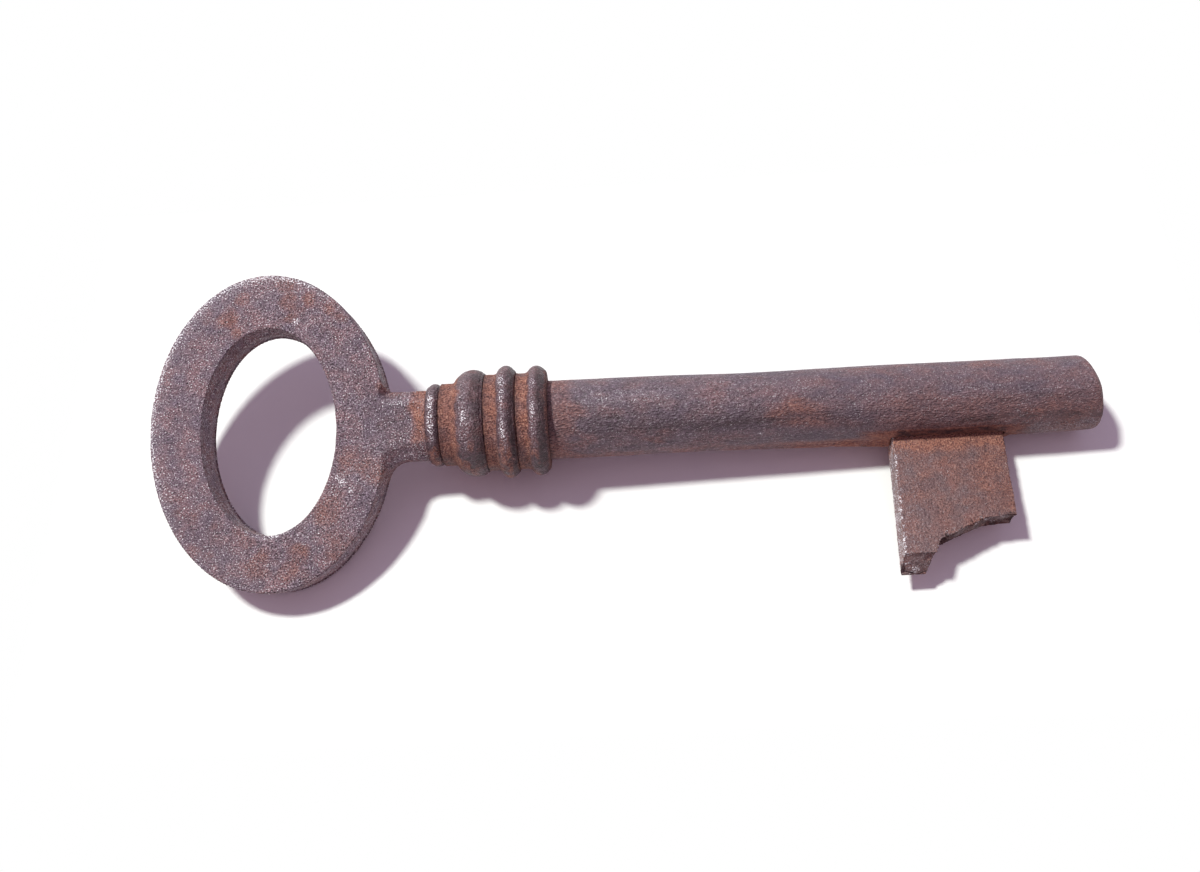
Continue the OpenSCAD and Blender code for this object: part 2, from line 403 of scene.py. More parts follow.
def broken_face(points, normals):
    """1 on the break and on the toe's end, 0 on the bit's faces and sides."""
    length, _ = along_blade(points)
    facing = -normals[:, 1] * math.cos(BIT_BEND) + normals[:, 2] * math.sin(BIT_BEND)
    return step(*BREAK_FACING, facing) * step(*BREAK_FROM, length)


def bit_shape(points, normals):
    """Rough skin on the faces and a torn, stepped surface on the break."""
    length, height = along_blade(points)
    broken = broken_face(points, normals)
    torn = TORN_LEAST + TORN_DEPTH * step(*TORN_LEVEL, noise(points, size=1.0, seed=83, octaves=2))
    torn += CHIP_DEPTH * step(*CHIP_LEVEL, noise(points, size=0.5, seed=85))
    notch = zone(points[:, 0] - BIT_BACK_X, NOTCH_BACK, NOTCH_FRONT) * step(*NOTCH_TOP, height)
    torn += NOTCH_DEPTH * notch
    torn *= 1 - TOE_TOP_WHOLE * step(*TOE_FROM, length) * step(*TOE_TOP_HEIGHT, height)
    ragged = step(*FRONT_LEVEL, noise(points, size=1.3, seed=87, octaves=2))
    depth = cast_skin(points, seed=81) * (1 - broken)
    depth += FRONT_RAGGED * ragged * step(*FRONT_FACING, normals[:, 0])
    points = points - normals * depth[:, None]
    points[:, 1] += broken * torn * math.cos(BIT_BEND)
    points[:, 2] -= broken * torn * math.sin(BIT_BEND)
    return points


# Wear on the bow, as shares of rust, bright wear with painted highlights and reflections, grime
# with painted shade and calm grain; a spot is (x, y, radius)
SPOT_EDGE = (1.25, 0.45)
SPOT_RAGGED = 0.35
BOW_RUST_SPOTS = [(-23.0, 13.0, 1.0), (-26.7, 12.2, 0.9), (-22.6, 11.5, 1.2), (-20.9, 11.7, 0.8),
                  (-28.1, 10.3, 1.1), (-18.5, 10.7, 1.2), (-22.4, 10.0, 0.7), (-27.3, 8.9, 0.7),
                  (-18.5, -10.2, 1.8), (-17.0, -3.2, 2.0), (-25.4, -11.7, 1.4), (-22.9, -12.3, 1.1),
                  (-22.0, -10.8, 1.2), (-19.4, -7.5, 1.6), (-26.2, -9.4, 0.9)]
# Spots on the bow's face painted bright as glints of the lamp.
BOW_GLINT_SPOTS = [(-18.5, -4.4, 0.35), (-18.1, -4.9, 0.5), (-17.4, -5.6, 0.35), (-22.0, 9.7, 0.4)]
TOP_FACING = (0.5, 0.85)
NECK_X, NECK_Y = (-3.5, 1.0), (5.5, 3)
NECK_EDGE_X, NECK_EDGE_Y = (-0.5, 0.3), (1.9, 0.22)
UPPER_CORNER_X, UPPER_CORNER_Y = (0.3, 1.5), (3.4, 0.8)
LOWER_CORNER_X, LOWER_CORNER_Y = (-0.3, 2.5), (-4.4, 1.2)
FLARE_START, FLARE_RUST_Y, FLARE_SHADE_Y = (-2.1, -1.0), (-2.4, -1.2), (-1.2, -2.2)
BIT_SIDE_Y = (-2, -8)
LAMP_SIDE = (-0.25, 0.45)
RIM_OUT, RIM_FACING, RIM_X = (0.93, 0.975), (0, 0.6), (0, -6)
BAND_OUT, BAND_X = (0.84, 0.95), (-18, -24)
EYE_RIM_OUT, EYE_RIM_X, EYE_RIM_Y = (1.07, 1.02), (BOW_CENTRE_X, 2.2), (-6, -8)
COOL_LEVEL = (0, 0.6)
DARK_X = (-25, -18)
CALM_BOW_X = (-23, -31)


def spots(points, places):
    """Highest share of several round spots, each (x, y, radius), seen from above."""
    ragged = 1 + SPOT_RAGGED * noise(points, size=0.9, seed=91, octaves=2)
    return largest(*(step(*SPOT_EDGE, np.hypot(points[:, 0] - x, points[:, 1] - y) * ragged / radius)
                     for x, y, radius in places))


def bow_wear(points, normals):
    """Scattered rust and painted glints, wear with a painted highlight on the lamp's side, painted
    floor reflection on the walls, a dark, grainy neck and a rusty flare with painted shade below.
    """
    x, y, _ = points.T
    along = x - BOW_FRONT_X
    from_centre = (x - BOW_CENTRE_X) / BOW_HALF_LEN
    facing = np.abs(normals[:, 2])
    wobble = noise(points, size=0.8, seed=21, octaves=2)
    top = step(*TOP_FACING, facing)
    neck = step(*NECK_X, along) * step(*NECK_Y, np.abs(y))
    flare = step(*FLARE_START, x - COLLAR_X + 0.35 * wobble)
    plain = top * (1 - flare)
    bit_side = top * step(*BIT_SIDE_Y, y)
    rust = largest(
        0.5 * top * spots(points, BOW_RUST_SPOTS),
        # The flare's rust stays on its upper side; its lower side is painted shade below.
        0.8 * flare * step(*FLARE_RUST_Y, y),
        0.8 * hill(along, *UPPER_CORNER_X) * hill(y, *UPPER_CORNER_Y),
        0.6 * hill(along, *LOWER_CORNER_X) * hill(y, *LOWER_CORNER_Y),
        0.3 * (1 - top),
        0.16 * bit_side)
    out = np.hypot(from_centre, y / BOW_HALF_W)
    inner = np.hypot((x - BOW_CENTRE_X) / EYE_HALF_LEN, y / EYE_HALF_W)
    # Outer edge and a band beside it on the lamp's upper-left side: wear with a painted highlight.
    lamp_side = step(*LAMP_SIDE, (y / BOW_HALF_W - from_centre) / 2)
    worn_lit_rim = step(*RIM_OUT, out) * step(*RIM_FACING, facing) * lamp_side * step(*RIM_X, along)
    worn_lit_rim_band = top * lamp_side * step(*BAND_OUT, out) * step(*BAND_X, x)
    eye_rim = step(*EYE_RIM_OUT, inner) * hill(x, *EYE_RIM_X) * step(*EYE_RIM_Y, y)
    # Upper edge of the neck's flat: wear with a painted highlight.
    worn_lit_neck_edge = plain * hill(y, *NECK_EDGE_Y) * step(*NECK_EDGE_X, along)
    wear_and_highlight = largest(
        worn_lit_rim,
        0.4 * worn_lit_rim_band,
        0.9 * eye_rim,
        0.3 * plain * step(*COOL_LEVEL, noise(points, size=4.2, seed=23, octaves=2)),
        0.08 * plain * neck + 0.8 * worn_lit_neck_edge,
        top * spots(points, BOW_GLINT_SPOTS),
        # Walls lighter: painted reflection of the lit floor.
        0.38 * (1 - top) * (1 - neck))
    soot_and_shade = largest(
        0.36 * plain * neck,
        0.1 * bit_side,
        0.08 * top * step(*DARK_X, x),
        # The flare's lower side: painted shade.
        0.4 * flare * step(*FLARE_SHADE_Y, y))
    return {"rust": rust, "wear_and_highlight": wear_and_highlight, "soot_and_shade": soot_and_shade, "calm": 0.2 * step(*CALM_BOW_X, x)}


# Wear on the collar, with painted highlights, painted floor reflections and painted shade
CREST_HEIGHT = (0.35, 0.85)
HIGHLIGHT_TURN = ((-46, -22), (62, 34))
LOW_RUST_TURN, LOW_RUST_LEVEL = (-14, -40), (-0.35, 0.25)
HIGHLIGHT_FACING, SHADED_FLANK_FACING, SHADED_FLANK_HEIGHT = (0.35, -0.3), (0, 0.5), (0, 0.3)
CREST_REFLECTION_TURN = (-62, -76)
LOW_GROOVE_TURN, LOW_CREST_TURN, LOW_CREST_LEVEL = (-20, -60), (-20, -45), (0.3, -0.2)
FOOT_OFFSET, FOOT_WIDTH, FRONT_WIDTH = 0.05, 0.3, 0.35


def collar_wear(groove_r, crest_r, rust_height=0.3, foot_shade=0.65, wear_and_highlight_strength=1.0, shade_from=0.0,
                flank_shade=1.05):
    """Rust in the groove, a painted highlight over light wear on the crest, painted floor reflection
    under it and painted shade at the band's foot, front and shaded side; darker towards the bottom.
    """
    def wear(points, normals):
        x, y, z = points.T
        turn = np.degrees(np.arctan2(y, np.abs(z)))
        height = (np.hypot(y, z) - groove_r) / (crest_r - groove_r)
        wobble = noise(points, size=0.7, seed=31, octaves=2)
        streak = noise(points, size=1.1, seed=35, octaves=2, stretch=(0.6, 1, 1))
        crest = step(*CREST_HEIGHT, height)
        forward = normals[:, 0] + 0.2 * wobble - shade_from
        shaded_flank = step(*SHADED_FLANK_FACING, forward) * step(*SHADED_FLANK_HEIGHT, height)
        rust = largest(
            step(rust_height + 0.2, rust_height - 0.2, height + 0.3 * wobble),
            step(*LOW_RUST_TURN, turn) * step(*LOW_RUST_LEVEL, streak))
        # Painted highlight: crests lighter on their lamp side within a band of turns, over light
        # wear all round.
        wear_and_highlight_zone = 0.16 + 0.84 * zone(turn + 12 * wobble, *HIGHLIGHT_TURN)
        wear_and_highlight_zone *= wear_and_highlight_strength * (0.8 + 0.5 * noise(points, size=0.8, seed=33, octaves=2))
        wear_and_highlight = crest * largest(
            wear_and_highlight_zone * step(*HIGHLIGHT_FACING, forward),
            # Crest bottoms: painted reflection of the lit floor.
            0.4 * step(*CREST_REFLECTION_TURN, turn))
        # Painted shade at each band's foot and front and on its side turned from the lamp; grooves
        # and crests are also darker towards the bottom.
        darkening = largest(
            foot_shade * hill(x, x.min() + FOOT_OFFSET, FOOT_WIDTH),
            0.7 * flank_shade * hill(x, x.max(), FRONT_WIDTH),
            0.4 * (1 - crest) * step(*LOW_GROOVE_TURN, turn),
            0.5 * crest * step(*LOW_CREST_TURN, turn) * step(*LOW_CREST_LEVEL, streak),
            flank_shade * shaded_flank)
        # Less rust on the side painted as shade.
        return {"rust": 0.75 * rust * (1 - 0.7 * shaded_flank), "wear_and_highlight": wear_and_highlight, "soot_and_shade": 0.9 * darkening}
    return wear


# Wear on the shank, with painted shade and highlights; a mark is (share, x, length, turn, width
# in degrees)
START_RUST = (4.2, 0.6)
PATCH_LEVEL = (0.22, 0.6)
UNDER_TURN = ((-62, -84), (-128, -100))
UNDER_RUST_X, LIP_END_X = (17, 27), (41, 43.5)
BIT_ROOT_X, BIT_ROOT_TURN = ((26, 29), (44, 40)), ((-50, -62), (-110, -90))
END_RUST_X = (46.5, 48.6)
FRONT_RUST_X, FRONT_RUST_TURN = (24, 31), (5, -30)
RUST_MARKS = [(0.55, 42, 2, -32, 7), (0.45, 22.5, 3.2, -30, 15)]
BELT_TURN, BELT_SINK, BELT_SINK_X = -20, -7, (4, 18)
BELT_WIDTH, BELT_LEVEL, BELT_RISE_X, BELT_FALL_X = 15, (-0.7, 0.2), (1.5, 6), (33, 24)
BELT_GAP = (22.8, 2.6)
TOP_SOOT_TURN, TOP_SOOT_X = (2, 16), (46, 41)
TIP_BELT_TURN, TIP_BELT_WIDTH, TIP_BELT_X, TIP_BELT_LEVEL = -15, 9, (36, 40), (-0.5, 0.2)
FRONT_SOOT_X, FRONT_SOOT_TURN = (26, 32), (8, -18)
EDGE_SOOT_TURN, EDGE_SOOT_X = (-42, 9), (33, 37)
RING_SHADE, RING_SHADE_TURN = (0, 0.28), (40, 0)
CREVICE_TURN, CREVICE_END = ((-56, -63), (-80, -74)), (-0.3, 0.3)
SOOT_MARKS = [(0.6, 26.6, 1.6, -40, 11)]
SHINE_TURN, SHINE_LEVEL, SHINE_X = (20, 15), (-0.3, 0.2), (16, 6)
SHEEN_TURN, SHEEN_LEVEL = (24, 18), (0.1, 0.6)
LIP_REFLECTION_TURN = (-48, -60)
BRIGHT_MARKS = [(1, 18.4, 0.35, -48, 2.2), (1, 7.6, 0.35, 13, 2.2)]
CALM_SHANK_X = (14, 22)


def marks(x, turn, places):
    """Highest share of several marks round the shank."""
    return largest(*(share * hill(x, mark_x, length) * hill(turn, mark_turn, width)
                     for share, mark_x, length, mark_turn, width in places))


def shank_wear(points, _):
    """Rust behind the collar, under the shank and by the bit; dark streaks and painted shade along
    the middle, behind the front ring and by the bit's root; painted highlights on the upper side and
    painted floor reflection on the lip near the tip.
    """
    x, y, z = points.T
    turn = np.degrees(np.arctan2(y, z))
    wobble = noise(points, size=1.5, seed=41, octaves=3)
    streak = noise(points, size=1.1, seed=43, octaves=3, stretch=(5, 1, 1))
    patches = noise(points, size=3.0, seed=45, octaves=3, stretch=(1.6, 1, 1))
    start = step(*START_RUST, x + 1.6 * wobble)
    lip_end = step(*LIP_END_X, x)
    # Less rust on the lip near the tip, which is painted with the floor's reflection.
    under = zone(turn, *UNDER_TURN) * (1 - 0.8 * lip_end)
    rust = largest(
        0.42 * start,
        0.52 * step(*PATCH_LEVEL, 0.5 * streak + 0.7 * patches),
        under * (0.28 + 0.47 * step(*UNDER_RUST_X, x)),
        zone(x, *BIT_ROOT_X) * zone(turn, *BIT_ROOT_TURN),
        0.5 * step(*END_RUST_X, x),
        step(*FRONT_RUST_X, x) * (0.14 + 0.22 * step(*FRONT_RUST_TURN, turn)),
        marks(x, turn, RUST_MARKS))
    # Dark bands along the shank's middle: dark streaks and painted shade.
    belt_turn = BELT_TURN + BELT_SINK * step(*BELT_SINK_X, x)
    streaked_shade_belt = hill(turn, belt_turn, BELT_WIDTH + 5 * wobble)
    streaked_shade_belt = streaked_shade_belt * (0.35 + 0.65 * step(*BELT_LEVEL, streak)) * (0.35 + 0.65 * step(*BELT_RISE_X, x))
    streaked_shade_belt = streaked_shade_belt * step(*BELT_FALL_X, x) * (1 - 0.6 * hill(x, *BELT_GAP))
    tip_shade_belt = hill(turn, TIP_BELT_TURN + 4 * wobble, TIP_BELT_WIDTH) * step(*TIP_BELT_X, x)
    tip_shade_belt = tip_shade_belt * (0.5 + 0.5 * step(*TIP_BELT_LEVEL, streak))
    inside_bit = step(*CREVICE_END, x - BIT_BACK_X) * step(*CREVICE_END, BIT_FRONT_X - x)
    soot_and_shade = largest(
        0.9 * streaked_shade_belt,
        0.78 * tip_shade_belt,
        0.16 * hill(turn, *TOP_SOOT_TURN) * step(*TOP_SOOT_X, x),
        0.3 * step(*FRONT_SOOT_X, x) * step(*FRONT_SOOT_TURN, turn),
        0.75 * hill(turn, *EDGE_SOOT_TURN) * step(*EDGE_SOOT_X, x),
        # Painted shade on the shank just behind the front ring.
        0.4 * hill(x, *RING_SHADE) * step(*RING_SHADE_TURN, turn),
        # Painted shade in the crease along the bit's root.
        0.95 * zone(turn, *CREVICE_TURN) * inside_bit,
        marks(x, turn, SOOT_MARKS))
    # Upper side: painted highlight as shine and sheen, over some wear.
    wear_and_highlight = (1 - start) * largest(
        0.4 * hill(turn, *SHINE_TURN) * step(*SHINE_LEVEL, streak) * step(*SHINE_X, x),
        0.2 * hill(turn, *SHEEN_TURN) * step(*SHEEN_LEVEL, streak),
        # Lip near the tip: painted reflection of the lit floor.
        0.35 * lip_end * step(*LIP_REFLECTION_TURN, turn))
    wear_and_highlight = largest(wear_and_highlight, marks(x, turn, BRIGHT_MARKS))
    return {"rust": rust, "wear_and_highlight": wear_and_highlight, "soot_and_shade": soot_and_shade, "calm": 0.3 * step(*CALM_SHANK_X, x)}


# Wear on the bit, over x from its back edge, length along the blade and height above its middle
ROOT_RUST = (2.4, 0.5)
FRONT_SIDE_FROM = 3
BLOCK_HEIGHT = (0.1, -0.2)
BACK_EDGE_X, BACK_EDGE_HEIGHT = (0.42, 0.1), (0.3, 0.7)
DOT_LEVEL, DOT_LENGTH = (-0.3, 0.1), (1.2, 2)
BREAK_RIM_HEIGHT, BREAK_RIM_LEVEL = (0.45, 0.75), (-0.2, 0.3)
SPECK_LEVEL = (0.35, 0.6)
BACK_SIDE_FACING = (0.4, 0.8)
PALE_X = (3.5, -0.5)
TOE_LINE_HEIGHT, TOE_LINE_LEVEL = (-0.05, 0.09), (-0.2, 0.3)
FRONT_DARK_FROM = 2
FRONT_EDGE_X = (0.45, 0.1)


def bit_wear(points, normals):
    """Rust at the root, painted glints along the back edge, a dark break with a painted highlight
    along its top edge and a bright line across the toe's end.
    """
    x = points[:, 0]
    length, height = along_blade(points)
    broken = broken_face(points, normals)
    wobble = noise(points, size=0.8, seed=51, octaves=2)
    root = step(*ROOT_RUST, length + 0.6 * wobble)
    toe_end = broken * step(*TOE_FROM, length)
    toe_block = toe_end * step(*BLOCK_HEIGHT, height + 0.2 * wobble)
    front_side = 0.35 * step(BIT_BACK_X + FRONT_SIDE_FROM, BIT_FRONT_X, x)
    patches = 0.2 + 0.3 * noise(points, size=1.6, seed=53, octaves=3)
    rust = largest(1.3 * root, patches + front_side) * (1 - 0.5 * broken) * (1 - 0.9 * toe_block)
    back_x = BIT_BACK_X - TOE_LEAN * length / TOE_LEN
    back_edge = step(*BACK_EDGE_X, x - back_x) * step(*BACK_EDGE_HEIGHT, height)
    # Painted glints in specks along the back edge.
    glint_dots = step(*DOT_LEVEL, noise(points, size=0.35, seed=55)) * step(*DOT_LENGTH, length)
    # Top edge of the break: wear with a painted highlight.
    worn_lit_break_rim = broken * step(*BREAK_RIM_HEIGHT, height)
    worn_lit_break_rim = worn_lit_break_rim * step(*BREAK_RIM_LEVEL, noise(points, size=0.5, seed=57))
    toe_line = toe_end * hill(height, *TOE_LINE_HEIGHT) * step(*TOE_LINE_LEVEL, wobble)
    wear_and_highlight = largest(
        back_edge * glint_dots,
        0.7 * worn_lit_break_rim,
        step(*BACK_SIDE_FACING, -normals[:, 0]) * (0.75 + 0.3 * wobble),
        0.2 * step(*PALE_X, x - BIT_BACK_X),
        0.8 * broken * step(*SPECK_LEVEL, noise(points, size=0.45, seed=59)),
        0.7 * toe_line,
        0.3 * toe_block)
    front_edge = step(*FRONT_EDGE_X, BIT_FRONT_X - x + 0.15 * wobble)
    soot_and_shade = largest(
        broken * (0.55 - 0.5 * toe_end + 0.4 * toe_block) * (1 - worn_lit_break_rim),
        0.2 * (1 - broken) * step(BIT_BACK_X + FRONT_DARK_FROM, BIT_FRONT_X, x),
        0.5 * (1 - broken) * front_edge)
    return {"rust": rust, "wear_and_highlight": wear_and_highlight, "soot_and_shade": soot_and_shade}


# Materials
class Graph:
    """Empties the node tree of a material, lamp or world, then adds nodes and links them."""

    def __init__(self, owner):
        owner.use_nodes = True
        self.tree = owner.node_tree
        self.tree.nodes.clear()

    def put(self, socket, value):
        """Links a socket to another node's output, or sets its value."""
        if isinstance(value, bpy.types.NodeSocket):
            self.tree.links.new(value, socket)
        else:
            socket.default_value = value

    def add(self, kind, inputs=None, **settings):
        """A node with its settings, and its inputs by name or number."""
        node = self.tree.nodes.new(kind)
        for key, value in settings.items():
            setattr(node, key, value)
        for key, value in (inputs or {}).items():
            self.put(node.inputs[key], value)
        return node

    def math(self, operation, first, second=0.0, clamp=False):
        return self.add("ShaderNodeMath", {0: first, 1: second}, operation=operation,
                        use_clamp=clamp).outputs[0]

    def ramp(self, factor, stops):
        """A colour ramp; each stop is (place, colour) or (place, grey level)."""
        node = self.add("ShaderNodeValToRGB", {"Fac": factor})
        elements = node.color_ramp.elements
        while len(elements) < len(stops):
            elements.new(0.5)
        for element, (place, color) in zip(elements, stops):
            color = color if isinstance(color, tuple) else (color, color, color)
            element.position = place
            element.color = (*color, 1)
        return node.outputs["Color"]

    def mix(self, factor, first, second, blend="MIX"):
        """Two colours mixed by a factor or blended."""
        node = self.add("ShaderNodeMix", data_type="RGBA", blend_type=blend)
        colors = [(*color, 1) if isinstance(color, tuple) else color for color in (first, second)]
        for number, value in zip((0, 6, 7), (factor, *colors)):
            self.put(node.inputs[number], value)
        return node.outputs[2]

    def noise(self, place, size, detail=2.0, roughness=0.55):
        """Noise from 0 to 1 whose grains are about size wide."""
        return self.add("ShaderNodeTexNoise", {"Vector": place, "Scale": 1 / (size * MM),
                        "Detail": detail, "Roughness": roughness}).outputs["Fac"]

    def tint(self, color, factor, low, high):
        """Multiplies a colour by low where the factor is low and by high where it is high."""
        stops = [(0.5 - TINT_SPREAD, low), (0.5, (1.0, 1.0, 1.0)), (0.5 + TINT_SPREAD, high)]
        return self.mix(1.0, color, self.ramp(factor, stops), "MULTIPLY")

    def attribute(self, name):
        return self.add("ShaderNodeAttribute", attribute_name=name).outputs["Fac"]


# The first four colours: grime with painted shade, wear with painted highlights (two), painted
# glints.
SOOT_AND_SHADE = (0.045, 0.023, 0.029)
WEAR_AND_HIGHLIGHT = (0.5, 0.435, 0.487)
COLLAR_WEAR_AND_HIGHLIGHT = (0.42, 0.32, 0.37)
GLINT_SPECK = (0.87, 0.82, 0.88)
RUST_DARK = (0.1, 0.04, 0.034)
RUST_BROWN = (0.215, 0.088, 0.072)
RUST_ORANGE = (0.375, 0.155, 0.109)
RUST_BRIGHT = (0.58, 0.31, 0.23)
HUE_COOL, HUE_WARM = (0.95, 0.98, 1.01), (1.07, 0.99, 0.96)
CLOUD_DARK, CLOUD_PALE = (0.87, 0.89, 0.93), (1.12, 1.04, 1.01)
TINT_SPREAD = 0.14
FINE_SIZE, COARSE_SIZE, HUE_SIZE, PATCH_SIZE, CLOUD_SIZE = 0.15, 0.5, 1.2, 1.3, 2.4
GLITTER_SIZE = 0.13
COARSE_TONE, COARSE_HEIGHT = 0.22, 0.8
TONE_MID, BODY_FROM, BODY_TO = 0.505, 0.47, 0.54
RUST_BROWN_TONE, RUST_ORANGE_TONE, RUST_LIFT = 0.48, 0.58, 0.06
RUST_SPREAD = 1.3
RUST_COVER = [(0.15, 0.0), (1.0, 0.92)]
SOOT_AND_SHADE_COVER = [(0.38, 1.0), (0.66, 0.45)]
WEAR_AND_HIGHLIGHT_COVER = [(0.42, 0.0), (0.54, 0.35), (0.66, 1.0)]
GLINT_COVER = [(0.625, 0.0), (0.7, 1.0)]
GLINT_EDGE, GLINT_CLOUD, GLINT_RUST = 0.13, 0.12, 0.8
ROUGH = 0.88
SHEEN = 0.32
WEAR_AND_HIGHLIGHT_METAL = 0.4
BUMP_HEIGHT = 0.2


def iron(name, dark, body, pale, wear_and_highlight_color=WEAR_AND_HIGHLIGHT, stretch=1.0, rust_level=0.0, patches=1.0,
         contrast=0.17, glint=0.5, polish=0.45):
    """Oxidised cast iron: fine grain, rust, grime with painted shade, bright wear with painted
    highlights and reflections, and tiny painted glints on exposed metal.

    dark, body and pale are the colours of pits, surface and crests; the outer two are reached
    contrast away from the middle tone. stretch draws the grain out along X. The points' rust, wear
    with painted highlights and grime with painted shade say how much of each lies there, and calm
    evens the grain. rust_level adds rust everywhere and patches makes it uneven, glint is the share
    of painted glints on exposed metal, and polish is the roughness where there is no rust.
    """
    material = bpy.data.materials.new(name)
    g = Graph(material)
    place = g.add("ShaderNodeTexCoord").outputs["Object"]
    drawn = g.add("ShaderNodeMapping", {"Vector": place, "Scale": (1 / stretch, 1, 1)}).outputs[0]
    grain = g.noise(drawn, FINE_SIZE, detail=1.0, roughness=0.6)
    coarse = g.noise(drawn, COARSE_SIZE, detail=3.0, roughness=0.6)
    cloud = g.noise(drawn, CLOUD_SIZE, detail=4.0, roughness=0.6)
    hue = g.noise(drawn, HUE_SIZE, detail=1.0, roughness=0.4)
    fine_tone = g.math("MULTIPLY", grain, 1 - COARSE_TONE)
    tone = g.math("ADD", fine_tone, g.math("MULTIPLY", coarse, COARSE_TONE))
    calm = g.math("MULTIPLY", g.attribute("calm"), g.math("SUBTRACT", tone, TONE_MID))
    tone = g.math("SUBTRACT", tone, calm)
    color = g.ramp(tone, [(TONE_MID - contrast, dark), (BODY_FROM, body), (BODY_TO, body),
                          (TONE_MID + contrast, pale)])
    color = g.tint(color, hue, HUE_COOL, HUE_WARM)
    color = g.tint(color, cloud, CLOUD_DARK, CLOUD_PALE)

    rust = g.attribute("rust")
    rust_tone = g.math("ADD", tone, g.math("MULTIPLY", rust, RUST_LIFT))
    rust_color = g.ramp(rust_tone, [
        (TONE_MID - 0.8 * contrast, RUST_DARK), (RUST_BROWN_TONE, RUST_BROWN),
        (RUST_ORANGE_TONE, RUST_ORANGE), (TONE_MID + 1.2 * contrast, RUST_BRIGHT)])
    spread = g.math("SUBTRACT", g.noise(drawn, PATCH_SIZE, detail=1.0, roughness=0.4), 0.5)
    rust = g.math("ADD", rust, g.math("MULTIPLY", spread, RUST_SPREAD * patches))
    rust_share = g.ramp(g.math("ADD", rust, rust_level), RUST_COVER)
    color = g.mix(rust_share, color, rust_color)

    # Dark share: grime together with painted shade in creases and on shaded sides.
    soot_and_shade_share = g.math("MULTIPLY", g.attribute("soot_and_shade"), g.ramp(coarse, SOOT_AND_SHADE_COVER))
    color = g.mix(soot_and_shade_share, color, SOOT_AND_SHADE)

    # Painted glints: tiny specks of exposed metal painted near white, in place of the lamp's
    # sparkle.
    glitter = g.noise(place, GLITTER_SIZE, detail=1.0, roughness=0.6)
    # Wear share: real wear together with painted highlights and painted floor reflections.
    wear_and_highlight = g.attribute("wear_and_highlight")
    wear_and_highlight_share = g.math("MULTIPLY", wear_and_highlight, g.ramp(glitter, WEAR_AND_HIGHLIGHT_COVER))
    color = g.mix(wear_and_highlight_share, color, wear_and_highlight_color)
    edge = g.math("POWER", wear_and_highlight, 3.0)
    cloud_lift = g.math("MULTIPLY", g.math("SUBTRACT", cloud, 0.5), GLINT_CLOUD)
    sparks = g.math("ADD", glitter, g.math("MULTIPLY", edge, GLINT_EDGE))
    sparks = g.math("ADD", sparks, cloud_lift)
    rusted = g.math("MULTIPLY", rust_share, GLINT_RUST * glint)
    bare_glint = g.math("SUBTRACT", g.math("ADD", edge, glint), rusted, clamp=True)
    bare_glint = g.math("MULTIPLY", g.ramp(sparks, GLINT_COVER), bare_glint)
    color = g.mix(bare_glint, color, GLINT_SPECK)

    clean = g.math("SUBTRACT", 1.0, rust_share, clamp=True)
    roughness = g.math("SUBTRACT", ROUGH, g.math("MULTIPLY", clean, ROUGH - polish))
    height = g.math("ADD", grain, g.math("MULTIPLY", coarse, COARSE_HEIGHT))
    bump = g.add("ShaderNodeBump", {"Height": height, "Strength": 1, "Distance": BUMP_HEIGHT * MM})
    shader = g.add("ShaderNodeBsdfPrincipled", {
        "Base Color": color, "Roughness": roughness, "Specular IOR Level": SHEEN,
        "Metallic": g.math("MULTIPLY", wear_and_highlight_share, WEAR_AND_HIGHLIGHT_METAL), "Normal": bump.outputs[0]})
    g.add("ShaderNodeOutputMaterial", {"Surface": shader.outputs[0]})
    return material


bow_iron = iron("bow_cast_iron", dark=(0.05, 0.03, 0.04), body=(0.19, 0.123, 0.155),
                pale=(0.5, 0.37, 0.44), patches=0.8, contrast=0.157, glint=1.0)
collar_iron = iron("collar_cast_iron", dark=(0.03, 0.015, 0.02), body=(0.119, 0.063, 0.077),
                   pale=(0.23, 0.14, 0.168), wear_and_highlight_color=COLLAR_WEAR_AND_HIGHLIGHT, rust_level=0.03, glint=0.12,
                   polish=0.38)
shank_iron = iron("shank_cast_iron", dark=(0.058, 0.037, 0.045), body=(0.15, 0.099, 0.122),
                  pale=(0.33, 0.235, 0.285), stretch=1.8, rust_level=0.09, patches=0.55,
                  contrast=0.21, glint=0.32, polish=0.48)
bit_iron = iron("bit_cast_iron", dark=(0.085, 0.048, 0.05), body=(0.192, 0.110, 0.110),
                pale=(0.34, 0.24, 0.24), rust_level=0.06, patches=0.6, contrast=0.24, glint=0.2,
                polish=0.5)


# Pieces
def even_mesh(piece, voxel):
    """Turns the piece into one closed mesh of even quads."""
    remesh = piece.modifiers.new("even_mesh", "REMESH")
    remesh.mode = "VOXEL"
    remesh.voxel_size = voxel * MM
    bpy.context.view_layer.update()
    evaluated = piece.evaluated_get(bpy.context.evaluated_depsgraph_get())
    mesh = bpy.data.meshes.new_from_object(evaluated)
    piece.modifiers.clear()
    piece.data = mesh
    mesh.shade_smooth()


def read_vectors(collection, field):
    """Places or normals of a mesh as an array with one row for each point."""
    flat = np.empty(len(collection) * 3, np.float32)
    collection.foreach_get(field, flat)
    return flat.reshape(-1, 3).astype(float)


